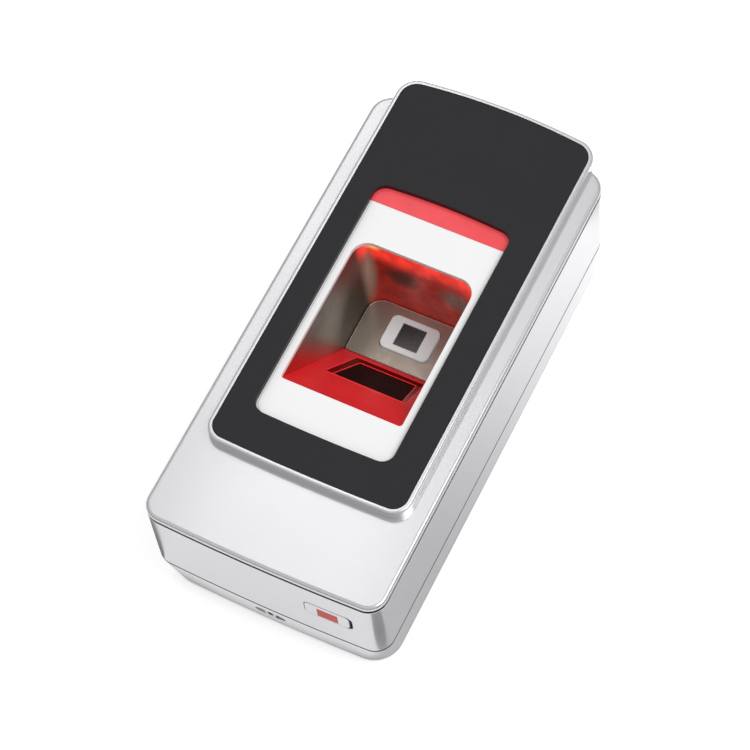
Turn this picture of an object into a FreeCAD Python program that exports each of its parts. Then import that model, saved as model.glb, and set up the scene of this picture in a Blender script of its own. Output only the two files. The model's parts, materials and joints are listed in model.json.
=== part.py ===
"""Fingerprint scanner terminal, lying on its back.

X runs to the terminal's right, Y from its foot end to its head end, and Z out of its face.
The origin is the centre of the back face. All sizes are millimetres.
"""
import FreeCAD, Part
import math
import os
import Sketcher

DIMENSIONS = {
    # outer case
    "overall_length": 120.8,
    "case_width": 56.0,
    "case_length": 116.4,
    "case_foot_bow": 0.7,
    "case_head_bow": 2.2,
    "case_foot_corner": 4.4,
    "case_head_corner": 5.2,
    "wall": 2.2,
    "parting_height": 12.2,
    "parting_gap": 0.5,
    "seam_height": 33.5,
    "seam_gap": 1.0,
    "face_height": 35.0,
    "edge_round": 0.9,
    "rim_break": 0.15,
    # rear shell
    "base_side_inset": 0.6,
    "base_foot_inset": 1.7,
    "base_head_inset": 1.0,
    "base_corner": 6.6,
    "base_round": 1.2,
    "back_panel_low": 4.4,
    "back_panel_high": 6.0,
    "pillar_radius": 3.1,
    "pillar_x": 22.2,
    "pillar_foot_y": 8.0,
    "pillar_head_y": 107.0,
    "pillar_split": 13.8,
    "case_screw_radius": 1.5,
    "case_screw_head_radius": 2.75,
    "case_screw_head_height": 2.0,
    "case_screw_tip": 27.0,
    "thread_clearance": 0.05,
    # security screw
    "lock_height": 7.3,
    "lock_recess_width": 7.4,
    "lock_recess_height": 3.2,
    "lock_screw_radius": 1.4,
    "lock_clearance": 0.08,
    "lock_head_start": 1.55,
    "lock_screw_end": 9.4,
    "lock_socket_radius": 0.75,
    "lock_socket_depth": 1.0,
    "lock_pocket_width": 14.0,
    "lock_pocket_start": 3.6,
    "lock_pocket_end": 10.6,
    "lock_pocket_top": 10.4,
    "lock_tab_width": 10.0,
    "lock_tab_start": 6.2,
    "lock_tab_top": 9.8,
    # wall plate
    "plate_thickness": 1.2,
    "plate_inset": 2.8,
    "wall_hole_radius": 2.1,
    "wall_hole_spacing_x": 30.0,
    "wall_hole_spacing_y": 70.0,
    "cable_y": 96.0,
    "plate_cable_width": 24.0,
    "plate_cable_length": 17.0,
    "hook_width": 8.0,
    "hook_x": 12.0,
    "hook_height": 2.4,
    "hook_reach": 1.9,
    "hook_lip": 1.2,
    "catch_gap": 0.2,
    # cable grommet
    "grommet_bore": 4.5,
    "grommet_neck": 6.4,
    "grommet_flange": 8.0,
    "grommet_lip": 1.1,
    # front cover
    "cover_thickness": 2.0,
    "cover_window_half": 17.6,
    "cover_window_start": 28.8,
    "cover_window_end": 92.6,
    "antenna_window_half": 19.5,
    "antenna_window_start": 94.6,
    "antenna_window_end": 112.4,
    "post_radius": 2.4,
    "post_x": 21.0,
    "post_foot_y": 24.0,
    "post_head_y": 90.0,
    "board_screw_radius": 1.0,
    "board_screw_head_radius": 2.0,
    "board_screw_head_height": 1.4,
    "board_screw_tip": 27.0,
    # panel frame
    "frame_half_width": 23.8,
    "frame_foot": 20.6,
    "frame_head_bow": 1.7,
    "frame_foot_bow": 0.5,
    "frame_foot_corner": 4.4,
    "frame_head_corner": 5.0,
    "frame_top": 37.5,
    "frame_round": 0.55,
    "frame_ledge": 3.0,
    "strap_wall": 1.8,
    "strap_gap": 0.04,
    # face panel
    "panel_margin": 1.0,
    "panel_gap": 0.12,
    "panel_thickness": 1.4,
    "panel_sink": 0.1,
    "window_offset": -0.65,
    "window_half_width": 16.3,
    "window_foot": 30.7,
    "window_head": 92.5,
    "window_foot_bow": 0.3,
    "window_head_bow": 0.8,
    "window_corner": 3.0,
    # well insert and status lens
    "insert_gap": 0.35,
    "insert_top": 36.1,
    "insert_bottom": 32.4,
    "flange_reach": 1.2,
    "lens_start": 87.65,
    "lens_low": 34.4,
    "lens_gap": 0.06,
    # finger well
    "well_half_width": 14.35,
    "well_floor_half_width": 12.5,
    "well_foot": 40.5,
    "well_head": 77.9,
    "well_head_corner": 3.9,
    "well_foot_corner": 0.8,
    "well_floor": 12.0,
    "cup_wall": 1.1,
    "ramp_foot": 62.9,
    "ramp_thickness": 1.8,
    "ramp_gap": 0.05,
    "slot_top_half": 10.0,
    "slot_bottom_half": 8.4,
    "slot_top_height": 25.4,
    "slot_bottom_height": 13.0,
    "slot_sink": 1.1,
    # fingerprint sensor
    "sensor_y": 71.1,
    "sensor_plate_thickness": 1.2,
    "sensor_plate_gap": 0.15,
    "bezel_length": 12.0,
    "bezel_width": 8.8,
    "bezel_corner": 1.6,
    "bezel_height": 0.6,
    "die_side": 5.8,
    "die_rise": 0.35,
    "holder_height": 1.6,
    "sensor_board_thickness": 1.0,
    # main board
    "board_low": 20.0,
    "board_thickness": 1.6,
    "board_half_width": 24.6,
    "board_foot": 5.0,
    "board_head": 110.0,
    "board_window_half": 17.0,
    "board_window_start": 36.0,
    "board_window_end": 82.0,
    # infrared window in the foot wall
    "carrier_x_low": 10.1,
    "carrier_x_high": 21.3,
    "carrier_z_low": 20.7,
    "carrier_z_high": 26.4,
    "carrier_pry_gap": 0.8,
    "carrier_gap": 0.15,
    "carrier_depth": 3.4,
    "carrier_corner": 1.4,
    "filter_x_low": 13.1,
    "filter_x_high": 17.8,
    "filter_z_low": 21.1,
    "filter_z_high": 24.8,
    # tamper switch and reset button
    "tamper_x": 14.0,
    "tamper_y": 28.0,
    "plunger_radius": 1.7,
    "plunger_clearance": 0.08,
    "plunger_travel": 1.0,
    "reset_x": -12.0,
    "reset_y": 31.0,
    "button_radius": 1.5,
    "button_travel": 0.3,
    "switch_side": 6.2,
    "switch_height": 4.4,
}

doc = FreeCAD.newDocument("fingerprint_terminal")
sheet = doc.addObject("Spreadsheet::Sheet", "dims")
for row, (alias, number) in enumerate(DIMENSIONS.items(), start=1):
    sheet.set(f"A{row}", alias)
    sheet.set(f"B{row}", str(number))
    sheet.setAlias(f"B{row}", alias)
doc.recompute()


class Size:
    """A number that carries the spreadsheet expression it comes from."""

    def __init__(self, text, value):
        self.text = text
        self.value = value

    def __add__(self, other):
        return join(self, "+", other, self.value + as_size(other).value)

    def __radd__(self, other):
        return as_size(other) + self

    def __sub__(self, other):
        return join(self, "-", other, self.value - as_size(other).value)

    def __rsub__(self, other):
        return as_size(other) - self

    def __mul__(self, other):
        return join(self, "*", other, self.value * as_size(other).value)

    def __rmul__(self, other):
        return as_size(other) * self

    def __truediv__(self, other):
        return join(self, "/", other, self.value / as_size(other).value)

    def __neg__(self):
        return 0 - self


def as_size(number):
    if isinstance(number, Size):
        return number
    return Size(f"({number})" if number < 0 else f"{number}", float(number))


def join(first, sign, second, value):
    return Size(f"({as_size(first).text} {sign} {as_size(second).text})", value)


class Sheet:
    """Reads a spreadsheet cell by its alias, as a Size."""

    def __getattr__(self, alias):
        return Size(f"dims.{alias}", float(DIMENSIONS[alias]))


S = Sheet()
BASE_STEPS = 4
parts = []


def bind(target, name, size):
    """Give a property its size and the expression that keeps it so."""
    target.setExpression(name, as_size(size).text)


def from_foot(distance):
    """The Y of a point that lies this far from the case's foot end."""
    return as_size(distance) - S.overall_length / 2


def keep(piece, label):
    """Make this object a sub-part: its label names its file."""
    piece.Label = label
    parts.append(piece)
    return piece


# ---------------------------------------------------------------- Part primitives


def box(name, x, y, z):
    """A box between two X, two Y and two Z values."""
    piece = doc.addObject("Part::Box", name)
    for side, (low, high), axis in (("Length", x, "x"), ("Width", y, "y"), ("Height", z, "z")):
        bind(piece, side, as_size(high) - low)
        bind(piece, f".Placement.Base.{axis}", low)
    return piece


def centred_box(name, centre_x, centre_y, length, width, z):
    """A box centred on a point in X and Y."""
    x = (as_size(centre_x) - length / 2, as_size(centre_x) + length / 2)
    y = (as_size(centre_y) - width / 2, as_size(centre_y) + width / 2)
    return box(name, x, y, z)


def cylinder(name, radius, x, y, z):
    """An upright cylinder between two Z values."""
    piece = doc.addObject("Part::Cylinder", name)
    bind(piece, "Radius", radius)
    bind(piece, "Height", as_size(z[1]) - z[0])
    for axis, value in (("x", x), ("y", y), ("z", z[0])):
        bind(piece, f".Placement.Base.{axis}", value)
    return piece


def lying_cylinder(name, radius, x, y, z):
    """A cylinder along Y between two Y values."""
    piece = doc.addObject("Part::Cylinder", name)
    piece.Placement.Rotation = FreeCAD.Rotation(FreeCAD.Vector(1, 0, 0), -90)
    bind(piece, "Radius", radius)
    bind(piece, "Height", as_size(y[1]) - y[0])
    for axis, value in (("x", x), ("y", y[0]), ("z", z)):
        bind(piece, f".Placement.Base.{axis}", value)
    return piece


def fuse(name, pieces):
    joined = doc.addObject("Part::MultiFuse", name)
    joined.Shapes = pieces
    return joined


def cut(name, base, tools):
    piece = doc.addObject("Part::Cut", name)
    piece.Base = base
    piece.Tool = tools[0] if len(tools) == 1 else fuse(name + "_tools", tools)
    return piece


def common(name, first, second):
    piece = doc.addObject("Part::Common", name)
    piece.Base = first
    piece.Tool = second
    return piece


def group(name, pieces):
    """Separate solids that share one node."""
    piece = doc.addObject("Part::Compound", name)
    piece.Links = pieces
    return piece


# ---------------------------------------------------------------- sketches and bodies


class Outline:
    """A long rounded outline whose two ends bow outwards."""

    def __init__(self, half_width, foot, head, foot_bow, head_bow, foot_corner, head_corner, offset=0):
        self.half_width = half_width
        self.foot = foot
        self.head = head
        self.foot_bow = foot_bow
        self.head_bow = head_bow
        self.foot_corner = foot_corner
        self.head_corner = head_corner
        self.offset = offset

    def inset(self, by):
        """The same outline, moved inwards all round."""
        smallest = 0.5
        corners = []
        for corner in (self.foot_corner, self.head_corner):
            smaller = as_size(corner) - by
            corners.append(smaller if smaller.value > smallest else as_size(smallest))
        return Outline(
            self.half_width - by,
            self.foot + by,
            self.head - by,
            self.foot_bow,
            self.head_bow,
            corners[0],
            corners[1],
            self.offset,
        )


def bow_radius(half_width, bow):
    return (half_width * half_width + bow * bow) / (2 * bow)


def new_body(name):
    return doc.addObject("PartDesign::Body", name)


def new_sketch(body, name, offset, role="XY_Plane"):
    """A sketch on one of the body's own origin planes, moved along its normal."""
    sketch = body.newObject("Sketcher::SketchObject", name)
    plane = [item for item in body.Origin.OriginFeatures if item.Role == role][0]
    sketch.AttachmentSupport = [(plane, "")]
    sketch.MapMode = "FlatFace"
    bind(sketch, ".AttachmentOffset.Base.z", offset)
    return sketch


def name_constraint(sketch, constraint, name, size):
    """Add a constraint and bind its value."""
    index = sketch.addConstraint(constraint)
    sketch.renameConstraint(index, name)
    bind(sketch, f"Constraints.{name}", size)


def arc(centre_x, centre_y, radius, start, end):
    circle = Part.Circle(FreeCAD.Vector(centre_x, centre_y, 0), FreeCAD.Vector(0, 0, 1), radius)
    return Part.ArcOfCircle(circle, start, end)


def line(x_start, y_start, x_end, y_end):
    return Part.LineSegment(FreeCAD.Vector(x_start, y_start, 0), FreeCAD.Vector(x_end, y_end, 0))


def close_tangent(sketch, count):
    """Join each curve's end to the next one's start, tangent."""
    for index in range(count):
        sketch.addConstraint(Sketcher.Constraint("Tangent", index, 2, (index + 1) % count, 1))


def outline_sketch(body, name, outline, height):
    """Two sides, two bowed ends and four corner arcs."""
    sketch = new_sketch(body, name, height)
    bind(sketch, ".AttachmentOffset.Base.x", outline.offset)
    width = outline.half_width
    foot_radius = bow_radius(width, outline.foot_bow)
    head_radius = bow_radius(width, outline.head_bow)
    foot_centre = outline.foot + foot_radius
    head_centre = outline.head - head_radius
    side = width.value
    foot_corner = as_size(outline.foot_corner).value
    head_corner = as_size(outline.head_corner).value
    foot_rise = math.sqrt((foot_radius.value - foot_corner) ** 2 - (side - foot_corner) ** 2)
    head_rise = math.sqrt((head_radius.value - head_corner) ** 2 - (side - head_corner) ** 2)
    foot_y = foot_centre.value - foot_rise
    head_y = head_centre.value + head_rise
    foot_angle = math.atan2(-foot_rise, side - foot_corner)
    head_angle = math.atan2(head_rise, side - head_corner)
    half_turn = math.pi
    curves = (
        arc(0, foot_centre.value, foot_radius.value, half_turn - foot_angle, foot_angle + 2 * half_turn),
        arc(side - foot_corner, foot_y, foot_corner, foot_angle, 0),
        line(side, foot_y, side, head_y),
        arc(side - head_corner, head_y, head_corner, 0, head_angle),
        arc(0, head_centre.value, head_radius.value, head_angle, half_turn - head_angle),
        arc(head_corner - side, head_y, head_corner, half_turn - head_angle, half_turn),
        line(-side, head_y, -side, foot_y),
        arc(foot_corner - side, foot_y, foot_corner, half_turn, half_turn - foot_angle),
    )
    for curve in curves:
        sketch.addGeometry(curve, False)
    close_tangent(sketch, len(curves))
    sketch.addConstraint(Sketcher.Constraint("Vertical", 2))
    sketch.addConstraint(Sketcher.Constraint("Vertical", 6))
    sketch.addConstraint(Sketcher.Constraint("Equal", 1, 7))
    sketch.addConstraint(Sketcher.Constraint("Equal", 3, 5))
    sketch.addConstraint(Sketcher.Constraint("PointOnObject", 0, 3, -2))
    sketch.addConstraint(Sketcher.Constraint("PointOnObject", 4, 3, -2))
    constraints = (
        ("foot_radius", Sketcher.Constraint("Radius", 0, foot_radius.value), foot_radius),
        ("head_radius", Sketcher.Constraint("Radius", 4, head_radius.value), head_radius),
        ("foot_corner", Sketcher.Constraint("Radius", 1, foot_corner), outline.foot_corner),
        ("head_corner", Sketcher.Constraint("Radius", 3, head_corner), outline.head_corner),
        ("right_side", Sketcher.Constraint("DistanceX", -1, 1, 2, 1, side), width),
        ("left_side", Sketcher.Constraint("DistanceX", 6, 1, -1, 1, side), width),
        ("foot_centre", Sketcher.Constraint("DistanceY", -1, 1, 0, 3, foot_centre.value), foot_centre),
        ("head_centre", Sketcher.Constraint("DistanceY", -1, 1, 4, 3, head_centre.value), head_centre),
    )
    for label, constraint, size in constraints:
        name_constraint(sketch, constraint, label, size)
    return sketch


def rectangle_sketch(body, name, x, y, corners, height, role="XY_Plane"):
    """A rectangle from its two ranges, with the corner radii of its lower and upper side."""
    sketch = new_sketch(body, name, height, role)
    left, right = (as_size(value) for value in x)
    foot, head = (as_size(value) for value in y)
    foot_corner, head_corner = (as_size(value) for value in corners)
    low_y = foot.value + foot_corner.value
    high_y = head.value - head_corner.value
    quarter = math.pi / 2
    curves = (
        line(left.value + foot_corner.value, foot.value, right.value - foot_corner.value, foot.value),
        arc(right.value - foot_corner.value, low_y, foot_corner.value, -quarter, 0),
        line(right.value, low_y, right.value, high_y),
        arc(right.value - head_corner.value, high_y, head_corner.value, 0, quarter),
        line(right.value - head_corner.value, head.value, left.value + head_corner.value, head.value),
        arc(left.value + head_corner.value, high_y, head_corner.value, quarter, 2 * quarter),
        line(left.value, high_y, left.value, low_y),
        arc(left.value + foot_corner.value, low_y, foot_corner.value, 2 * quarter, 3 * quarter),
    )
    for curve in curves:
        sketch.addGeometry(curve, False)
    close_tangent(sketch, len(curves))
    for index in (0, 4):
        sketch.addConstraint(Sketcher.Constraint("Horizontal", index))
    for index in (2, 6):
        sketch.addConstraint(Sketcher.Constraint("Vertical", index))
    sketch.addConstraint(Sketcher.Constraint("Equal", 1, 7))
    sketch.addConstraint(Sketcher.Constraint("Equal", 3, 5))
    constraints = (
        ("foot_corner", Sketcher.Constraint("Radius", 1, foot_corner.value), foot_corner),
        ("head_corner", Sketcher.Constraint("Radius", 3, head_corner.value), head_corner),
        ("right_side", Sketcher.Constraint("DistanceX", -1, 1, 2, 1, right.value), right),
        ("left_side", Sketcher.Constraint("DistanceX", -1, 1, 6, 1, left.value), left),
        ("foot_side", Sketcher.Constraint("DistanceY", -1, 1, 0, 1, foot.value), foot),
        ("head_side", Sketcher.Constraint("DistanceY", -1, 1, 4, 1, head.value), head),
    )
    for label, constraint, size in constraints:
        name_constraint(sketch, constraint, label, size)
    return sketch


def pad(body, sketch, height):
    feature = body.newObject("PartDesign::Pad", sketch.Name + "_pad")
    feature.Profile = sketch
    bind(feature, "Length", height)
    return feature


def pocket(body, sketch, depth):
    """Cut downwards from the sketch's plane."""
    feature = body.newObject("PartDesign::Pocket", sketch.Name + "_pocket")
    feature.Profile = sketch
    bind(feature, "Length", depth)
    return feature


def loft(body, kind, sketches):
    feature = body.newObject(kind, sketches[0].Name + "_loft")
    feature.Profile = sketches[0]
    feature.Sections = sketches[1:]
    return feature


def slab(body, name, outline, low, high):
    """A plate of this outline between two heights."""
    return pad(body, outline_sketch(body, name, outline, low), as_size(high) - low)


def hollow(body, name, outline, low, high):
    """A cut of this outline between two heights, open upwards."""
    return pocket(body, outline_sketch(body, name, outline, high), as_size(high) - low)


def edges_at(feature, height):
    """Names of the feature's edges that lie flat at this height."""
    level = as_size(height).value
    names = []
    for index, edge in enumerate(feature.Shape.Edges, start=1):
        bounds = edge.BoundBox
        if abs(bounds.ZMin - level) < 1e-4 and abs(bounds.ZMax - level) < 1e-4:
            names.append(f"Edge{index}")
    return names


def round_edges(body, name, feature, height, radius):
    """Round every edge that lies at this height."""
    doc.recompute()
    rounded = body.newObject("PartDesign::Fillet", name)
    rounded.Base = (feature, edges_at(feature, height))
    bind(rounded, "Radius", radius)
    return rounded


def plate(name, outline, low, high):
    """A plain plate as a body of its own."""
    body = new_body(name)
    slab(body, name + "_outline", outline, low, high)
    return body


# ---------------------------------------------------------------- shared outlines

CASE = Outline(
    S.case_width / 2,
    from_foot(0),
    from_foot(S.case_length),
    S.case_foot_bow,
    S.case_head_bow,
    S.case_foot_corner,
    S.case_head_corner,
)
BASE = Outline(
    CASE.half_width - S.base_side_inset,
    CASE.foot + S.base_foot_inset,
    CASE.head - S.base_head_inset,
    S.case_foot_bow,
    S.case_head_bow,
    S.base_corner,
    S.base_corner,
)
FRAME = Outline(
    S.frame_half_width,
    from_foot(S.frame_foot),
    from_foot(S.overall_length),
    S.frame_foot_bow,
    S.frame_head_bow,
    S.frame_foot_corner,
    S.frame_head_corner,
)
PANEL = FRAME.inset(S.panel_margin)
WINDOW = Outline(
    S.window_half_width,
    from_foot(S.window_foot),
    from_foot(S.window_head),
    S.window_foot_bow,
    S.window_head_bow,
    S.window_corner,
    S.window_corner,
    S.window_offset,
)
INSERT = WINDOW.inset(S.insert_gap)
PILLARS = [
    (sign * S.pillar_x, from_foot(y)) for sign in (-1, 1) for y in (S.pillar_foot_y, S.pillar_head_y)
]
POSTS = [(sign * S.post_x, from_foot(y)) for sign in (-1, 1) for y in (S.post_foot_y, S.post_head_y)]
BOARD_HIGH = S.board_low + S.board_thickness
PANEL_TOP = S.frame_top - S.panel_sink
PANEL_LOW = PANEL_TOP - S.panel_thickness
FRAME_FLOOR = S.face_height
COVER_LOW = S.face_height - S.cover_thickness
CABLE_Y = from_foot(S.cable_y)
HOOK_ROOT = BASE.head - S.case_head_bow - S.plate_inset - 2


def at_each(name, points, radius, z):
    """A cylinder at each point."""
    return [cylinder(f"{name}_{index}", radius, x, y, z) for index, (x, y) in enumerate(points, start=1)]


# ---------------------------------------------------------------- case


def lock_bores(name, radius, low, high):
    """A round hole through the foot wall for the security screw."""
    return lying_cylinder(name, radius, 0, (from_foot(low), from_foot(high)), S.lock_height)


def rear_shell():
    body = new_body("rear_shell_body")
    rim = S.parting_height - S.parting_gap / 2
    sections = [outline_sketch(body, "rear_rim", CASE, rim)]
    for index in range(BASE_STEPS + 1):
        angle = math.pi / 2 * index / BASE_STEPS
        height = S.base_round * round(1 - math.sin(angle), 4)
        inset = S.base_round * round(1 - math.cos(angle), 4)
        sections.append(outline_sketch(body, f"rear_base_{index}", BASE.inset(inset), height))
    loft(body, "PartDesign::AdditiveLoft", sections).Ruled = True
    hollow(body, "rear_inside", CASE.inset(S.wall + S.base_side_inset), S.back_panel_high, rim)
    hollow(body, "rear_recess", BASE.inset(S.wall), -1, S.back_panel_low)
    pillars = at_each("rear_pillar", PILLARS, S.pillar_radius, (S.back_panel_low, S.pillar_split))
    pocket_half = S.lock_pocket_width / 2
    skin = 1.2
    lock_box = box(
        "lock_pocket_walls",
        (-pocket_half - skin, pocket_half + skin),
        (from_foot(S.lock_pocket_start - skin), from_foot(S.lock_pocket_end + skin)),
        (S.back_panel_low, S.lock_pocket_top + skin),
    )
    catches = [
        box(
            f"hook_catch_{side}",
            (x - S.hook_width / 2 - 1, x + S.hook_width / 2 + 1),
            (HOOK_ROOT + S.catch_gap, BASE.head - S.wall),
            (S.plate_thickness + S.catch_gap, S.hook_height - S.catch_gap / 2),
        )
        for side, x in (("left", -S.hook_x), ("right", S.hook_x))
    ]
    solid = fuse("rear_shell_solid", [body, lock_box] + pillars + catches)
    recess_half = (S.lock_recess_width - S.lock_recess_height) / 2
    recess_radius = S.lock_recess_height / 2
    recess_y = (from_foot(0), from_foot(S.lock_head_start))
    tools = at_each("rear_screw_hole", PILLARS, S.case_screw_radius + S.thread_clearance, (0, 20))
    tools += [
        box(
            "lock_pocket",
            (-pocket_half, pocket_half),
            (from_foot(S.lock_pocket_start), from_foot(S.lock_pocket_end)),
            (0, S.lock_pocket_top),
        ),
        lying_cylinder("lock_recess_left", recess_radius, -recess_half, recess_y, S.lock_height),
        lying_cylinder("lock_recess_right", recess_radius, recess_half, recess_y, S.lock_height),
        box(
            "lock_recess_middle",
            (-recess_half, recess_half),
            recess_y,
            (S.lock_height - recess_radius, S.lock_height + recess_radius),
        ),
        lock_bores("lock_shell_bore", S.lock_screw_radius + S.lock_clearance, 0, S.lock_pocket_start + 1),
        cylinder("grommet_hole", S.grommet_neck, 0, CABLE_Y, (0, S.back_panel_high + 1)),
        cylinder(
            "plunger_hole",
            S.plunger_radius + S.plunger_clearance,
            S.tamper_x,
            from_foot(S.tamper_y),
            (0, S.back_panel_high + 1),
        ),
    ]
    return keep(cut("rear_shell_cut", solid, tools), "rear_shell")


def wall_block(name, x, z, corner, y):
    """A block along Y whose corners are rounded as seen from the foot end."""
    body = new_body(name)
    near, far = y
    pad(body, rectangle_sketch(body, name + "_face", x, z, (corner, corner), -far, "XZ_Plane"), far - near)
    return body


def main_housing():
    low = S.parting_height + S.parting_gap / 2
    high = S.seam_height - S.seam_gap / 2
    body = new_body("housing_body")
    ring = slab(body, "housing_outline", CASE, low, high)
    round_edges(body, "housing_rim_break", ring, high, S.rim_break)
    hollow(body, "housing_inside", CASE.inset(S.wall), low, high)
    slot = wall_block(
        "carrier_slot",
        (S.carrier_x_low, S.carrier_x_high),
        (S.carrier_z_low, S.carrier_z_high),
        S.carrier_corner,
        (from_foot(-1), from_foot(S.wall + 2)),
    )
    return keep(cut("housing_cut", body, [slot]), "main_housing")


def front_cover():
    low = S.seam_height + S.seam_gap / 2
    body = new_body("cover_body")
    face = slab(body, "cover_outline", CASE, low, S.face_height)
    round_edges(body, "cover_edge_round", face, S.face_height, S.edge_round)
    inside = plate("cover_inner_plate", CASE.inset(S.wall + 0.1), COVER_LOW, low + 0.1)
    pillars = at_each("cover_pillar", PILLARS, S.pillar_radius, (S.pillar_split, COVER_LOW + 1))
    posts = at_each("cover_post", POSTS, S.post_radius, (BOARD_HIGH, COVER_LOW + 1))
    solid = fuse("cover_solid", [body, inside] + pillars + posts)
    past = S.face_height + 1
    tools = [
        box(
            "cover_window",
            (-S.cover_window_half, S.cover_window_half),
            (from_foot(S.cover_window_start), from_foot(S.cover_window_end)),
            (COVER_LOW - 1, past),
        ),
        box(
            "antenna_window",
            (-S.antenna_window_half, S.antenna_window_half),
            (from_foot(S.antenna_window_start), from_foot(S.antenna_window_end)),
            (COVER_LOW - 1, past),
        ),
    ]
    thread = S.case_screw_radius + S.thread_clearance
    tools += at_each("cover_thread", PILLARS, thread, (S.pillar_split - 1, S.case_screw_tip + 1))
    pilot = S.board_screw_radius + S.thread_clearance
    tools += at_each("post_thread", POSTS, pilot, (BOARD_HIGH - 1, S.board_screw_tip + 1))
    return keep(cut("cover_cut", solid, tools), "front_cover")


def panel_frame():
    """The raised frame round the face panel, with a strap down the case's head end."""
    body = new_body("frame_body")
    strap_low = S.parting_height + S.parting_gap / 2
    block = slab(body, "frame_outline", FRAME, strap_low, S.frame_top)
    round_edges(body, "frame_edge_round", block, S.frame_top, S.frame_round)
    hollow(body, "frame_seat", PANEL, PANEL_LOW, S.frame_top)
    hollow(body, "frame_inside", PANEL.inset(S.frame_ledge), FRAME_FLOOR - 1, PANEL_LOW)
    below = box(
        "frame_below",
        (-S.case_width, S.case_width),
        (from_foot(0), from_foot(S.case_length - S.case_head_bow - 1)),
        (0, FRAME_FLOOR),
    )
    end_body = plate("frame_case_clearance", CASE.inset(-S.strap_gap), 0, FRAME_FLOOR)
    strap_space = plate("strap_space", FRAME.inset(S.strap_wall), strap_low + S.strap_wall, FRAME_FLOOR - 1)
    return keep(cut("frame_cut", body, [below, end_body, strap_space]), "panel_frame")


def face_panel():
    body = new_body("panel_body")
    slab(body, "panel_outline", PANEL.inset(S.panel_gap), PANEL_LOW, PANEL_TOP)
    hollow(body, "panel_window", WINDOW, PANEL_LOW, PANEL_TOP)
    return keep(body, "face_panel")


def gaskets():
    for label, inner, outer, low, high in (
        ("face_gasket", 1.9, 0.45, S.seam_height - S.seam_gap / 2, S.seam_height + S.seam_gap / 2),
        ("rear_seal", 1.9, 0.7, S.parting_height - S.parting_gap / 2, S.parting_height + S.parting_gap / 2),
    ):
        body = new_body(label + "_body")
        slab(body, label + "_outer", CASE.inset(outer), low, high)
        hollow(body, label + "_inner", CASE.inset(inner), low, high)
        keep(body, label)


# ---------------------------------------------------------------- finger well


def well_half_width(height):
    """Half the well's width at this height: it narrows with depth."""
    taper = (S.well_half_width - S.well_floor_half_width) / (S.insert_top - S.well_floor)
    return S.well_floor_half_width + taper * (height - S.well_floor)


def well_sketch(body, name, height, grow=0):
    """The well's section at this height."""
    half_width = well_half_width(height) + grow
    return rectangle_sketch(
        body,
        name,
        (S.window_offset - half_width, S.window_offset + half_width),
        (from_foot(S.well_foot - grow), from_foot(S.well_head + grow)),
        (S.well_foot_corner + grow, S.well_head_corner + grow),
        height,
    )


def well_solid(name, low, high, grow=0):
    """The space inside the well, or a bigger copy of it."""
    body = new_body(name)
    narrow = well_sketch(body, name + "_low", low, grow)
    wide = well_sketch(body, name + "_high", high, grow)
    loft(body, "PartDesign::AdditiveLoft", [narrow, wide]).Ruled = True
    return body


def ramp_prism(name, depth):
    """A sloping plate from the well's foot rim down to the sensor plate, this thick."""
    body = new_body(name)
    sketch = new_sketch(body, name + "_side", -S.case_width / 2, "YZ_Plane")
    foot, end = from_foot(S.well_foot), from_foot(S.ramp_foot)
    top, low = S.insert_top, S.well_floor
    corners = [(foot, top - 0.2), (end, low), (end, low - depth), (foot, top - 0.2 - depth)]
    count = len(corners)
    for index in range(count):
        start, stop = corners[index], corners[(index + 1) % count]
        sketch.addGeometry(line(start[0].value, start[1].value, stop[0].value, stop[1].value), False)
    for index in range(count):
        sketch.addConstraint(Sketcher.Constraint("Coincident", index, 2, (index + 1) % count, 1))
    for index, (along, up) in enumerate(corners):
        name_constraint(
            sketch,
            Sketcher.Constraint("DistanceX", -1, 1, index, 1, along.value),
            f"along_{index}",
            along,
        )
        name_constraint(
            sketch,
            Sketcher.Constraint("DistanceY", -1, 1, index, 1, up.value),
            f"up_{index}",
            up,
        )
    pad(body, sketch, S.case_width)
    return body


def detect_slot(name, margin):
    """The upright prism over the trapezoid window in the ramp."""
    run = (S.ramp_foot - S.well_foot) / (S.insert_top - S.well_floor)
    near = from_foot(S.well_foot + (S.insert_top - S.slot_top_height) * run + margin)
    far = from_foot(S.well_foot + (S.insert_top - S.slot_bottom_height) * run - margin)
    body = new_body(name)
    sketch = new_sketch(body, name + "_plan", 0)
    top_half = S.slot_top_half - margin
    bottom_half = S.slot_bottom_half - margin
    middle = S.window_offset
    corners = [
        (middle - top_half, near),
        (middle + top_half, near),
        (middle + bottom_half, far),
        (middle - bottom_half, far),
    ]
    count = len(corners)
    for index in range(count):
        start, stop = corners[index], corners[(index + 1) % count]
        sketch.addGeometry(line(start[0].value, start[1].value, stop[0].value, stop[1].value), False)
    for index in range(count):
        sketch.addConstraint(Sketcher.Constraint("Coincident", index, 2, (index + 1) % count, 1))
    for index, (across, along) in enumerate(corners):
        name_constraint(
            sketch,
            Sketcher.Constraint("DistanceX", -1, 1, index, 1, across.value),
            f"across_{index}",
            across,
        )
        name_constraint(
            sketch,
            Sketcher.Constraint("DistanceY", -1, 1, index, 1, along.value),
            f"along_{index}",
            along,
        )
    pad(body, sketch, S.insert_top)
    return body


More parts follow.
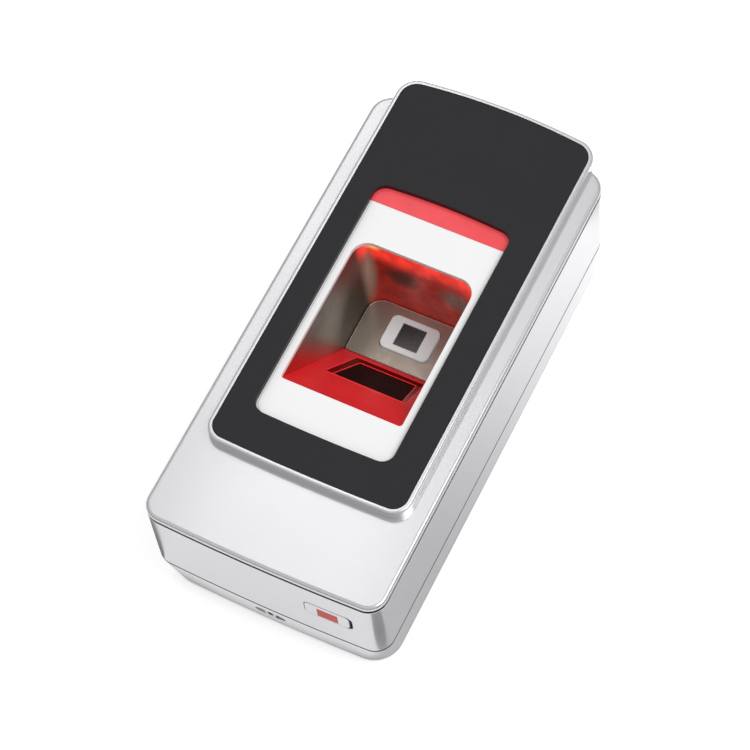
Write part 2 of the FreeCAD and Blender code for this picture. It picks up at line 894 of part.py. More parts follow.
def well_insert():
    body = new_body("insert_body")
    slab(body, "insert_outline", INSERT, S.insert_bottom, S.insert_top)
    flange = plate("insert_flange", INSERT.inset(-S.flange_reach), S.face_height + 0.05, PANEL_LOW)
    solid = fuse("insert_solid", [body, flange])
    opening = well_solid("insert_opening", S.insert_bottom - 1, S.insert_top + 0.1)
    shaft = well_solid("insert_shaft", S.insert_bottom - 1, S.insert_top - 1, S.cup_wall)
    seat = box(
        "lens_seat",
        (-S.case_width, S.case_width),
        (from_foot(S.lens_start), from_foot(S.window_head + S.flange_reach + 1)),
        (S.lens_low, S.insert_top + 1),
    )
    light_slot = box(
        "lens_light_slot",
        (S.window_offset - S.window_half_width + 3, S.window_offset + S.window_half_width - 3),
        (from_foot(S.lens_start + 0.6), from_foot(S.lens_start + 3.4)),
        (S.insert_bottom - 1, S.insert_top),
    )
    return keep(cut("insert_cut", solid, [opening, shaft, seat, light_slot]), "well_insert")


def status_lens():
    top = plate("lens_plate", INSERT.inset(S.lens_gap), S.lens_low + S.lens_gap, S.insert_top - S.lens_gap)
    flange = plate(
        "lens_flange", INSERT.inset(S.lens_gap - S.flange_reach), S.face_height + S.lens_gap, PANEL_LOW
    )
    head = box(
        "lens_range",
        (-S.case_width, S.case_width),
        (from_foot(S.lens_start + S.lens_gap), from_foot(S.case_length)),
        (0, S.frame_top),
    )
    return keep(common("lens_head", fuse("lens_whole", [top, flange]), head), "status_lens")


def finger_cup():
    """The tall shaft of the well, from under the insert down past the sensor plate."""
    bottom = S.well_floor - S.sensor_plate_thickness - 0.4
    top = S.insert_top - 1
    outer = well_solid("cup_outer", bottom, top, S.cup_wall - 0.05)
    inner = well_solid("cup_inner", bottom - 1, S.insert_top + 0.1)
    ledge = box(
        "cup_ledge",
        (S.window_offset - S.well_floor_half_width - 0.5, S.window_offset + S.well_floor_half_width + 0.5),
        (from_foot(S.ramp_foot), from_foot(S.well_head + 0.3)),
        (bottom, S.well_floor - S.sensor_plate_thickness),
    )
    window = box(
        "cup_ledge_window",
        (S.window_offset - S.well_floor_half_width + 1.5, S.window_offset + S.well_floor_half_width - 1.5),
        (from_foot(S.ramp_foot + 1.2), from_foot(S.well_head - 1.5)),
        (bottom - 1, S.well_floor),
    )
    shaft = cut("cup_shaft", outer, [inner])
    shelf = cut("cup_shelf", ledge, [window])
    return keep(fuse("cup_joined", [shaft, shelf]), "finger_cup")


def ramp_light_guide():
    space = well_solid("ramp_space", S.well_floor - 4, S.insert_top - 0.2, -S.ramp_gap)
    slope = ramp_prism("ramp_slope", S.ramp_thickness * 1.5)
    solid = common("ramp_solid", space, slope)
    return keep(cut("ramp_cut", solid, [detect_slot("ramp_slot", 0)]), "ramp_light_guide")


def detect_window():
    space = well_solid("detect_space", S.well_floor - 6, S.insert_top, -S.ramp_gap)
    slope = ramp_prism("detect_slope", S.ramp_thickness * 1.5)
    sunk = common("detect_sunk", space, slope)
    sunk_slot = common("detect_solid", sunk, detect_slot("detect_slot", S.ramp_gap))
    above = ramp_prism("detect_above", S.slot_sink)
    return keep(cut("detect_cut", sunk_slot, [above]), "detect_window")


def sensor():
    plate_low = S.well_floor - S.sensor_plate_thickness
    centre = from_foot(S.sensor_y)
    middle = S.window_offset
    bezel_x = (middle - S.bezel_length / 2, middle + S.bezel_length / 2)
    bezel_y = (centre - S.bezel_width / 2, centre + S.bezel_width / 2)
    corners = (S.bezel_corner, S.bezel_corner)

    plate_body = new_body("sensor_plate_body")
    gap = S.sensor_plate_gap
    half = S.well_floor_half_width - gap
    pad(
        plate_body,
        rectangle_sketch(
            plate_body,
            "sensor_plate_outline",
            (middle - half, middle + half),
            (from_foot(S.ramp_foot + gap), from_foot(S.well_head - gap)),
            (0.5, S.well_head_corner - gap),
            plate_low,
        ),
        S.sensor_plate_thickness,
    )
    pocket(
        plate_body,
        rectangle_sketch(
            plate_body,
            "sensor_plate_window",
            (bezel_x[0] - 0.12, bezel_x[1] + 0.12),
            (bezel_y[0] - 0.12, bezel_y[1] + 0.12),
            (S.bezel_corner, S.bezel_corner),
            S.well_floor,
        ),
        S.sensor_plate_thickness,
    )
    keep(plate_body, "sensor_plate")

    bezel_top = S.well_floor + S.bezel_height
    bezel_body = new_body("sensor_bezel_body")
    ring = pad(
        bezel_body,
        rectangle_sketch(bezel_body, "bezel_outline", bezel_x, bezel_y, corners, plate_low),
        bezel_top - plate_low,
    )
    round_edges(bezel_body, "bezel_round", ring, bezel_top, 0.3)
    die_half = S.die_side / 2
    clearance = 0.04
    opening = S.die_side + 2 * clearance
    window = centred_box("die_window", middle, centre, opening, opening, (0, bezel_top + 1))
    keep(cut("bezel_cut", bezel_body, [window]), "sensor_bezel")
    keep(
        box(
            "sensor_die_box",
            (middle - die_half, middle + die_half),
            (centre - die_half, centre + die_half),
            (plate_low, S.well_floor + S.die_rise),
        ),
        "sensor_die",
    )

    holder_low = plate_low - S.holder_height
    keep(
        centred_box("sensor_holder_box", middle, centre, as_size(17), as_size(10), (holder_low, plate_low)),
        "sensor_holder",
    )
    board_low = holder_low - S.sensor_board_thickness
    keep(
        centred_box("sensor_board_box", middle, centre - 0.5, as_size(23), as_size(14), (board_low, holder_low)),
        "sensor_board",
    )
    return board_low


# ---------------------------------------------------------------- wall side


def wall_plate():
    body = new_body("plate_body")
    slab(body, "plate_outline", BASE.inset(S.plate_inset), 0, S.plate_thickness)
    tab_half = S.lock_tab_width / 2
    tab = box(
        "lock_tab",
        (-tab_half, tab_half),
        (from_foot(S.lock_tab_start), from_foot(S.lock_tab_start + S.plate_thickness)),
        (0, S.lock_tab_top),
    )
    hooks = []
    for side, sign in (("left", -1), ("right", 1)):
        x = (sign * S.hook_x - S.hook_width / 2, sign * S.hook_x + S.hook_width / 2)
        top = S.hook_height + S.hook_lip
        hooks.append(box(f"hook_rise_{side}", x, (HOOK_ROOT - S.plate_thickness, HOOK_ROOT), (0, top)))
        hooks.append(
            box(f"hook_lip_{side}", x, (HOOK_ROOT - 1, HOOK_ROOT + S.hook_reach), (S.hook_height, top))
        )
    solid = fuse("plate_solid", [body, tab] + hooks)
    half_x, half_y = S.wall_hole_spacing_x / 2, S.wall_hole_spacing_y / 2
    holes = [(sx * half_x, sy * half_y) for sx in (-1, 1) for sy in (-1, 1)]
    tools = at_each("wall_hole", holes, S.wall_hole_radius, (-1, S.plate_thickness + 1))
    tools += [
        centred_box(
            "plate_cable_opening",
            0,
            CABLE_Y,
            S.plate_cable_width,
            S.plate_cable_length,
            (-1, S.plate_thickness + 1),
        ),
        lock_bores("tab_thread", S.lock_screw_radius + S.lock_clearance, S.lock_tab_start - 1, S.lock_screw_end),
    ]
    return keep(cut("plate_cut", solid, tools), "wall_plate")


def cable_grommet():
    low = S.back_panel_low - S.grommet_lip
    high = S.back_panel_high + S.grommet_lip
    neck = S.grommet_neck - 0.05
    pieces = [
        cylinder("grommet_neck_ring", neck, 0, CABLE_Y, (low, high)),
        cylinder("grommet_outer_lip", S.grommet_flange, 0, CABLE_Y, (low, S.back_panel_low)),
        cylinder("grommet_inner_lip", S.grommet_flange, 0, CABLE_Y, (S.back_panel_high, high)),
    ]
    bore = cylinder("grommet_bore_hole", S.grommet_bore, 0, CABLE_Y, (low - 1, high + 1))
    return keep(cut("grommet_cut", fuse("grommet_solid", pieces), [bore]), "cable_grommet")


def security_screw():
    start = S.lock_head_start - 0.75
    shank = lock_bores("lock_shank", S.lock_screw_radius, start, S.lock_screw_end)
    socket = doc.addObject("Part::Prism", "lock_socket")
    socket.Polygon = 6
    socket.Placement.Rotation = FreeCAD.Rotation(FreeCAD.Vector(1, 0, 0), -90)
    bind(socket, "Circumradius", S.lock_socket_radius)
    bind(socket, "Height", S.lock_socket_depth + 1)
    bind(socket, ".Placement.Base.y", from_foot(start - 1))
    bind(socket, ".Placement.Base.z", S.lock_height)
    return keep(cut("lock_screw_cut", shank, [socket]), "security_screw")


# ---------------------------------------------------------------- electronics


def main_board():
    board = box(
        "board_blank",
        (-S.board_half_width, S.board_half_width),
        (from_foot(S.board_foot), from_foot(S.board_head)),
        (S.board_low, BOARD_HIGH),
    )
    past = (S.board_low - 1, BOARD_HIGH + 1)
    tools = []
    inner_x = S.pillar_x - S.pillar_radius - 0.5
    reach = S.pillar_radius + 0.5
    for side, x in (("left", (-S.case_width, -inner_x)), ("right", (inner_x, S.case_width))):
        foot_y = (from_foot(0), from_foot(S.pillar_foot_y + reach))
        head_y = (from_foot(S.pillar_head_y - reach), from_foot(S.case_length))
        tools.append(box(f"foot_notch_{side}", x, foot_y, past))
        tools.append(box(f"head_notch_{side}", x, head_y, past))
    tools += at_each("board_hole", POSTS, S.board_screw_radius + 0.15, past)
    tools.append(
        box(
            "board_window",
            (-S.board_window_half, S.board_window_half),
            (from_foot(S.board_window_start), from_foot(S.board_window_end)),
            past,
        )
    )
    return keep(cut("board_cut", board, tools), "main_board")


def on_board(label, centre_x, centre_y, length, width, height):
    """A box-shaped component on the board's face side."""
    z = (BOARD_HIGH, BOARD_HIGH + height)
    block = centred_box(label + "_box", centre_x, from_foot(centre_y), as_size(length), as_size(width), z)
    return keep(block, label)


def under_board(name, centre_x, centre_y, length, width, height):
    """A box-shaped component on the board's rear side."""
    z = (S.board_low - height, S.board_low)
    return centred_box(name, centre_x, from_foot(centre_y), as_size(length), as_size(width), z)


def board_components():
    on_board("processor_chip", 0, 20, 12, 12, 1.4)
    on_board("memory_chip", 14, 20, 6, 5, 1.2)
    on_board("quartz_crystal", -13, 17, 8, 4, 3.2)
    on_board("voltage_regulator", -14, 100, 7, 6.5, 2.2)
    on_board("ir_receiver", (S.filter_x_low + S.filter_x_high) / 2, 7, 5, 3.4, 4.0)
    coin_cell = cylinder("coin_cell_can", 6, 14, from_foot(30), (BOARD_HIGH, BOARD_HIGH + 3.4))
    keep(coin_cell, "clock_battery")
    buzzer = cylinder("buzzer_can", 6, 9, from_foot(100), (BOARD_HIGH, BOARD_HIGH + 6))
    sound_hole = cylinder("buzzer_hole", 1, 9, from_foot(100), (BOARD_HIGH + 2, BOARD_HIGH + 7))
    keep(cut("buzzer_cut", buzzer, [sound_hole]), "buzzer")
    cans = [
        cylinder(f"capacitor_{index}", 2.5, x, from_foot(y), (BOARD_HIGH, BOARD_HIGH + 5.4))
        for index, (x, y) in enumerate(((-6, 101), (-6, 94.5), (-13, 93)), start=1)
    ]
    keep(group("capacitor_group", cans), "capacitors")
    keep(under_board("relay_box", 2, 20, 15.5, 10.2, 11), "door_relay")
    headers = []
    for index, x in enumerate((-9.5, 9.5), start=1):
        shell = under_board(f"header_shell_{index}", x, 88, 15, 6, 8)
        mouth = centred_box(
            f"header_mouth_{index}",
            x,
            from_foot(88),
            as_size(13.4),
            as_size(4.4),
            (S.board_low - 9, S.board_low - 2),
        )
        headers.append(cut(f"header_{index}", shell, [mouth]))
    keep(group("header_group", headers), "wiring_headers")


def antenna():
    board_z = (COVER_LOW + 0.4, COVER_LOW + 1.4)
    middle = (S.antenna_window_start + S.antenna_window_end) / 2
    length, width = S.antenna_window_half * 2 - 1, S.antenna_window_end - S.antenna_window_start - 1
    keep(centred_box("antenna_board_box", 0, from_foot(middle), length, width, board_z), "antenna_board")
    turns = []
    track, pitch = 0.5, 1.1
    top = (board_z[1], board_z[1] + 0.2)
    for turn in range(5):
        shrink = 2 * (0.8 + pitch * turn)
        outer = centred_box(
            f"coil_outer_{turn}", 0, from_foot(middle), length - shrink, width - shrink, top
        )
        inner = centred_box(
            f"coil_inner_{turn}",
            0,
            from_foot(middle),
            length - shrink - 2 * track,
            width - shrink - 2 * track,
            (board_z[0], top[1] + 1),
        )
        turns.append(cut(f"coil_turn_{turn}", outer, [inner]))
    keep(group("coil_turns", turns), "antenna_coil")


def status_lights():
    board_z = (S.insert_bottom - 2.4, S.insert_bottom - 1.4)
    led_y = from_foot(S.lens_start + 2.1)
    keep(centred_box("led_board_box", 0, led_y, as_size(26), as_size(6.5), board_z), "status_led_board")
    leds = [
        centred_box(f"status_led_{index}", x, led_y, as_size(3), as_size(1.6), (board_z[1], board_z[1] + 1))
        for index, x in enumerate((-9, 0, 9), start=1)
    ]
    keep(group("status_led_group", leds), "status_leds")


def well_lights():
    """Red lamps and the finger-presence pair behind the ramp."""
    board_z = (S.well_floor - 3.4, S.well_floor - 2.4)
    centre = from_foot(50.5)
    keep(centred_box("well_led_board_box", 0, centre, as_size(20), as_size(15), board_z), "well_led_board")
    leds = [
        centred_box(f"well_led_{index}", x, centre - 4, as_size(3), as_size(1.6), (board_z[1], board_z[1] + 1))
        for index, x in enumerate((-7, 0, 7), start=1)
    ]
    keep(group("well_led_group", leds), "well_leds")
    eyes = [
        cylinder(f"presence_eye_{index}", 1.5, x, centre + 2, (board_z[1], board_z[1] + 3))
        for index, x in enumerate((-3, 3), start=1)
    ]
    keep(group("presence_group", eyes), "presence_sensor_pair")


def flat_cable(sensor_board_low):
    """The flat lead from the sensor's board, along the back panel and up to the main board."""
    half, thickness = 4.5, 0.3
    level = sensor_board_low - 1.4
    near, far = from_foot(33.2), from_foot(66)
    run = box("cable_run", (-half, half), (near, far), (level, level + thickness))
    rise = box("cable_rise", (-half, half), (near, near + thickness), (level, S.board_low - 1.8))
    keep(fuse("cable_joined", [run, rise]), "sensor_flat_cable")
    sockets = [
        box(
            "cable_socket_sensor",
            (-half - 1, half + 1),
            (far - 2, far + 2),
            (level + thickness, sensor_board_low),
        ),
        under_board("cable_socket_main", 0, 33.4, 2 * half + 2, 3.6, 1.8),
    ]
    keep(group("cable_socket_group", sockets), "cable_sockets")


def switch(name, label, x, y, radius, bore_depth):
    """A switch body under the board, with a guide bore for its plunger."""
    body = under_board(name + "_block", x, y, S.switch_side, S.switch_side, S.switch_height)
    bore = cylinder(
        name + "_guide",
        radius + S.plunger_clearance,
        x,
        from_foot(y),
        (S.board_low - S.switch_height - 1, S.board_low - S.switch_height + bore_depth),
    )
    return keep(cut(name + "_cut", body, [bore]), label)


def switches():
    bottom = S.board_low - S.switch_height
    switch("tamper", "tamper_switch", S.tamper_x, S.tamper_y, S.plunger_radius, 3.0)
    rod = cylinder(
        "tamper_rod",
        S.plunger_radius,
        S.tamper_x,
        from_foot(S.tamper_y),
        (S.plate_thickness + 0.05, bottom + 3.0 - S.plunger_travel - 0.3),
    )
    keep(rod, "tamper_plunger")
    switch("reset", "reset_switch", S.reset_x, S.reset_y, S.button_radius, 2.0)
    button = cylinder(
        "reset_cap",
        S.button_radius,
        S.reset_x,
        from_foot(S.reset_y),
        (bottom - 1.2, bottom + 2.0 - S.button_travel - 0.3),
    )
    keep(button, "reset_button")


# ---------------------------------------------------------------- infrared window


def infrared_window():
    """The flush carrier in the foot wall and the red filter set in it."""
    case_block = plate("case_block", CASE, S.carrier_z_low - 1, S.carrier_z_high + 1)
    carrier_box = wall_block(
        "carrier_box",
        (S.carrier_x_low + S.carrier_gap, S.carrier_x_high - S.carrier_pry_gap),
        (S.carrier_z_low + S.carrier_gap / 2, S.carrier_z_high - 2 * S.carrier_gap),
        S.carrier_corner - S.carrier_gap,
        (from_foot(-1), from_foot(S.carrier_depth)),
    )
    flange = box(
        "carrier_flange",
        (S.carrier_x_low - 1, S.carrier_x_high + 1),
        (from_foot(S.carrier_depth - 0.4), from_foot(S.carrier_depth + 0.6)),
        (S.carrier_z_low - 0.5, S.carrier_z_high + 1),
    )
    carrier = common("carrier_solid", carrier_box, case_block)
    window = box(
        "filter_window",
        (S.filter_x_low - 0.04, S.filter_x_high + 0.04),
        (from_foot(-2), from_foot(S.carrier_depth + 2)),
        (S.filter_z_low - 0.04, S.filter_z_high + 0.04),
    )
    keep(cut("carrier_cut", fuse("carrier_joined", [carrier, flange]), [window]), "window_carrier")
    filter_box = box(
        "filter_box",
        (S.filter_x_low, S.filter_x_high),
        (from_foot(-1), from_foot(S.carrier_depth)),
        (S.filter_z_low, S.filter_z_high),
    )
    keep(common("filter_solid", filter_box, case_block), "infrared_filter")


# ---------------------------------------------------------------- fasteners


def screws():
    case_screws, board_screws = [], []
    head_low = S.back_panel_low - S.case_screw_head_height
    for index, (x, y) in enumerate(PILLARS, start=1):
        shank = cylinder(f"case_shank_{index}", S.case_screw_radius, x, y, (head_low, S.case_screw_tip))
        head = cylinder(f"case_head_{index}", S.case_screw_head_radius, x, y, (head_low, S.back_panel_low))
        case_screws.append(fuse(f"case_screw_{index}", [shank, head]))
    head_low = S.board_low - S.board_screw_head_height
    for index, (x, y) in enumerate(POSTS, start=1):
        shank = cylinder(f"board_shank_{index}", S.board_screw_radius, x, y, (head_low, S.board_screw_tip))
        head = cylinder(f"board_head_{index}", S.board_screw_head_radius, x, y, (head_low, S.board_low))
        board_screws.append(fuse(f"board_screw_{index}", [shank, head]))
    keep(group("case_screw_group", case_screws), "case_screws")
    keep(group("board_screw_group", board_screws), "board_screws")


def check_and_export():
    doc.recompute()
    for item in doc.Objects:
        if "Invalid" in item.State or "Error" in item.State:
            raise RuntimeError(f"{item.Name} ({item.Label}) failed: {item.State}")
    os.makedirs("parts", exist_ok=True)
    for piece in parts:
        shape = piece.Shape
        if shape.isNull() or not shape.isValid() or not shape.Solids:
            raise RuntimeError(f"{piece.Label} has no valid solid")
        shape.exportStep(os.path.join("parts", piece.Label + ".step"))
        print(f"{piece.Label}: {len(shape.Solids)} solid(s), {shape.Volume / 1000:.3f} cm3")
    print(len(parts), "nodes")


rear_shell()
main_housing()
front_cover()
panel_frame()
face_panel()
gaskets()
well_insert()
status_lens()
finger_cup()
ramp_light_guide()
detect_window()
lead_level = sensor()
wall_plate()
cable_grommet()
security_screw()
main_board()
board_components()
antenna()
status_lights()
well_lights()
flat_cable(lead_level)
switches()
infrared_window()
screws()
check_and_export()
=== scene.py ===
"""Looks for the fingerprint scanner terminal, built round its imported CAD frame."""
import json
import math

import bpy
from mathutils import Matrix, Quaternion, Vector

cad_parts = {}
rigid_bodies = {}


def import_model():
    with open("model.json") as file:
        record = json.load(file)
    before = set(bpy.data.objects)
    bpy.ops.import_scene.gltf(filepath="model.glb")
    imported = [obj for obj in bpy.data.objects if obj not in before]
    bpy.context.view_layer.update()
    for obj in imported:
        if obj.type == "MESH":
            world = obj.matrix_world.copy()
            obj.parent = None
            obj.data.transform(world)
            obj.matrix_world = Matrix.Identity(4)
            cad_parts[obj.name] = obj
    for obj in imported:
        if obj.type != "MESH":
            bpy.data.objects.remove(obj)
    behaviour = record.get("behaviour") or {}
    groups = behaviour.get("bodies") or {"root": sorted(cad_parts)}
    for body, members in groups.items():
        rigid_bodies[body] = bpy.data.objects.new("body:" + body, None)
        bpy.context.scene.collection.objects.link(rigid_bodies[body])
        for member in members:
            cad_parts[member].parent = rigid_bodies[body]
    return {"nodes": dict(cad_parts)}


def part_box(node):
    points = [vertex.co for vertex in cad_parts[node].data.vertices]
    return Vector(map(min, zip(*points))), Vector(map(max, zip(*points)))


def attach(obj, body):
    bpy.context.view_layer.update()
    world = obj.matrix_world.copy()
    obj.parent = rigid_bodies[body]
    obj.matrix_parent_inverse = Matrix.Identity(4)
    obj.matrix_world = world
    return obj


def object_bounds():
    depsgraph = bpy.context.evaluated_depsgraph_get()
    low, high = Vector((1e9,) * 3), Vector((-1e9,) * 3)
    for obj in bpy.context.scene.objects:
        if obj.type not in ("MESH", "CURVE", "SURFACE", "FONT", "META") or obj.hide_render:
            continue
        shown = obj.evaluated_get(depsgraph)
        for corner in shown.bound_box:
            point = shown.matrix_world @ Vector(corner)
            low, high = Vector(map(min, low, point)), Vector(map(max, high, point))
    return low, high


for thing in list(bpy.data.objects):
    bpy.data.objects.remove(thing)
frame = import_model()
cad_low, cad_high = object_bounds()
NODES = frame["nodes"]
MM = 0.001
RELIEF = 0.02 * MM  # depth of most surface grain
NOISE_SPAN = (0.3, 0.7)  # where nearly all of a noise texture's values lie
FOOT = cad_low.y
bezel_low, bezel_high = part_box("sensor_bezel")
MID = (bezel_low.x + bezel_high.x) / 2  # the finger well lies a little left of the middle


def along(distance):
    """The Y of a point this many millimetres from the foot end."""
    return FOOT + distance * MM


# ---------------------------------------------------------------- materials


class Surface:
    """A procedural material round one Principled shader, patterned in object space."""

    def __init__(self, name):
        self.material = bpy.data.materials.new(name)
        self.material.use_nodes = True
        self.nodes = self.material.node_tree.nodes
        self.links = self.material.node_tree.links
        self.shader = self.nodes["Principled BSDF"]
        self.place = self.nodes.new("ShaderNodeTexCoord").outputs["Object"]
        self.normal = None

    def put(self, socket, value):
        """Set a socket, or link it when the value is another node's output."""
        if isinstance(value, bpy.types.NodeSocket):
            self.links.new(value, socket)
        elif isinstance(value, tuple) and len(value) == 3 and socket.type == "RGBA":
            socket.default_value = (*value, 1.0)
        else:
            socket.default_value = value

    def set(self, **values):
        """Set the shader's inputs, each under its own name in lower case."""
        for name, value in values.items():
            self.put(self.shader.inputs[name.replace("_", " ").title().replace("Ior", "IOR")], value)

    def math(self, kind, first, second=0.0):
        node = self.nodes.new("ShaderNodeMath")
        node.operation = kind
        self.put(node.inputs[0], first)
        self.put(node.inputs[1], second)
        return node.outputs[0]

    def plus(self, first, second):
        return self.math("ADD", first, second)

    def minus(self, first, second):
        return self.math("SUBTRACT", first, second)

    def times(self, first, *others):
        for other in others:
            first = self.math("MULTIPLY", first, other)
        return first

    def largest(self, first, *others):
        for other in others:
            first = self.math("MAXIMUM", first, other)
        return first

    def stretch(self, scale):
        """The object's coordinates, scaled on each axis."""
        node = self.nodes.new("ShaderNodeVectorMath")
        node.operation = "MULTIPLY"
        self.put(node.inputs[0], self.place)
        node.inputs[1].default_value = scale
        return node.outputs[0]

    def noise(self, scale, detail=2.0, vector=None):
        node = self.nodes.new("ShaderNodeTexNoise")
        self.put(node.inputs["Vector"], vector or self.place)
        node.inputs["Scale"].default_value = scale
        node.inputs["Detail"].default_value = detail
        return node.outputs["Fac"]

    def cells(self, scale, output="Distance", vector=None):
        node = self.nodes.new("ShaderNodeTexVoronoi")
        self.put(node.inputs["Vector"], vector or self.place)
        node.inputs["Scale"].default_value = scale
        return node.outputs[output]

    def band(self, value, low, high, out_low=0.0, out_high=1.0):
        """The value eased from one range to another, and held outside it."""
        node = self.nodes.new("ShaderNodeMapRange")
        node.interpolation_type = "SMOOTHSTEP"
        self.put(node.inputs[0], value)
        for index, number in enumerate((low, high, out_low, out_high), start=1):
            node.inputs[index].default_value = number
        return node.outputs[0]

    def speckle(self, scale, low, high, vector=None):
        """Noise spread over a range, for uneven gloss."""
        return self.band(self.noise(scale, 2.0, vector), *NOISE_SPAN, low, high)

    def mix(self, fac, first, second):
        node = self.nodes.new("ShaderNodeMix")
        node.data_type = "RGBA"
        self.put(node.inputs[0], fac)
        self.put(node.inputs[6], first)
        self.put(node.inputs[7], second)
        return node.outputs[2]

    def axis(self, name):
        """One of the point's coordinates, in metres."""
        node = self.nodes.new("ShaderNodeSeparateXYZ")
        self.links.new(self.place, node.inputs[0])
        return node.outputs[name]

    def openness(self, reach, low, high):
        """0 deep in a gap, 1 out in the open."""
        node = self.nodes.new("ShaderNodeAmbientOcclusion")
        node.samples = 8
        node.inputs["Distance"].default_value = reach
        return self.band(node.outputs["AO"], low, high)

    def bevel(self, radius):
        node = self.nodes.new("ShaderNodeBevel")
        node.samples = 4
        node.inputs["Radius"].default_value = radius
        if self.normal:
            self.links.new(self.normal, node.inputs["Normal"])
        self.keep_normal(node.outputs[0])

    def bump(self, height, strength, distance):
        node = self.nodes.new("ShaderNodeBump")
        node.inputs["Strength"].default_value = strength
        node.inputs["Distance"].default_value = distance
        self.put(node.inputs["Height"], height)
        if self.normal:
            self.links.new(self.normal, node.inputs["Normal"])
        self.keep_normal(node.outputs[0])

    def keep_normal(self, normal):
        self.normal = normal
        self.links.new(normal, self.shader.inputs["Normal"])


def lighter(colour, by):
    """The colour with each channel scaled, and none past white."""
    return tuple(min(1.0, channel * by) for channel in colour)


def plain(name, colour, roughness, metallic=0.0, drift=0.08, grain=9000.0, bump=0.12, edge=0.12 * MM,
          stretch=(1.0, 1.0, 1.0)):
    """Moulded, painted or metal stock: a fine grain, a slow drift in shade and softened edges."""
    s = Surface(name)
    slow = s.noise(60.0, 3.0, s.stretch(stretch))
    s.set(
        base_color=s.mix(slow, lighter(colour, 1 - drift), lighter(colour, 1 + drift)),
        roughness=s.speckle(grain / 3, roughness * 0.85, roughness * 1.15, s.stretch(stretch)),
        metallic=metallic,
    )
    s.bevel(edge)
    s.bump(s.noise(grain, 2.0, s.stretch(stretch)), bump, RELIEF)
    return s


def silver_lacquer(name, seam_fillers=()):
    """Satin silver lacquer, with painted shade where shade falls: there it turns dark, dull and without
    metal.

    That is deep in any gap, and right across each seam that holds one of the fillers.
    """
    s = Surface(name)
    # painted shade: the near-black colour that gaps and seams are given
    painted_gap_shade = (0.010, 0.010, 0.012)
    flake = s.band(s.noise(6000.0, 1.0), 0.35, 0.65)
    lacquer = s.mix(flake, (0.610, 0.610, 0.627), (0.620, 0.620, 0.637))
    gap_reach = 0.9 * MM
    # painted shade from an occlusion test: 0 deep in a gap, 1 out in the open
    outside_painted_shade = s.openness(gap_reach, 0.22, 0.52)
    slack = 0.02 * MM
    # painted shade right across each seam that holds one of the fillers
    for filler in seam_fillers:
        low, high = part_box(filler)
        height = s.axis("Z")
        above = s.math("GREATER_THAN", height, low.z - slack)
        below = s.math("LESS_THAN", height, high.z + slack)
        outside_painted_shade = s.times(outside_painted_shade, s.minus(1.0, s.times(above, below)))
    s.set(
        base_color=s.mix(outside_painted_shade, painted_gap_shade, lacquer),
        metallic=s.times(outside_painted_shade, 0.75),
        specular_ior_level=s.times(outside_painted_shade, 0.5),
        roughness=s.band(s.noise(40.0, 0.0), 0.0, 1.0, 0.21, 0.25),
        coat_weight=s.times(outside_painted_shade, 0.2),
        coat_roughness=0.18,
    )
    s.bevel(0.10 * MM)
    return s


def black_panel():
    """Satin black face sheet with a very fine orange peel."""
    s = Surface("black_panel_sheet")
    s.set(
        base_color=s.mix(s.noise(90.0, 3.0), (0.0125, 0.0120, 0.0145), (0.0145, 0.0140, 0.0165)),
        roughness=s.speckle(1500.0, 0.38, 0.42),
        specular_ior_level=0.28,
    )
    s.bevel(0.10 * MM)
    s.bump(s.noise(9000.0, 2.0), 0.03, RELIEF / 2)
    return s


def glowing(name, colour, roughness, glow, coat=0.0):
    """Translucent coloured plastic lit from behind; on the infrared filter its glow is painted light."""
    s = Surface(name)
    uneven = s.band(s.noise(140.0, 2.0), 0.3, 0.75, 0.85, 1.1)
    s.set(
        base_color=s.mix(s.noise(220.0, 2.0), lighter(colour, 0.9), lighter(colour, 1.1)),
        roughness=s.speckle(2500.0, roughness * 0.85, roughness * 1.15),
        emission_color=colour,
        emission_strength=s.times(uneven, glow),
        specular_ior_level=0.3,
        coat_weight=coat,
        coat_roughness=0.1,
    )
    s.bevel(0.12 * MM)
    s.bump(s.noise(5000.0, 2.0), 0.05, RELIEF)
    return s


def smoked(name, dark, pale):
    """Smoke-tinted metallised plastic: gives the surface, its cloud pattern and its shade."""
    s = Surface(name)
    cloud = s.noise(60.0, 0.0)
    shade = s.mix(s.band(cloud, *NOISE_SPAN), dark, pale)
    s.set(base_color=shade, metallic=0.55, roughness=s.speckle(700.0, 0.30, 0.40))
    s.bevel(0.10 * MM)
    s.bump(s.noise(2600.0, 2.0), 0.03, RELIEF)
    return s, cloud, shade


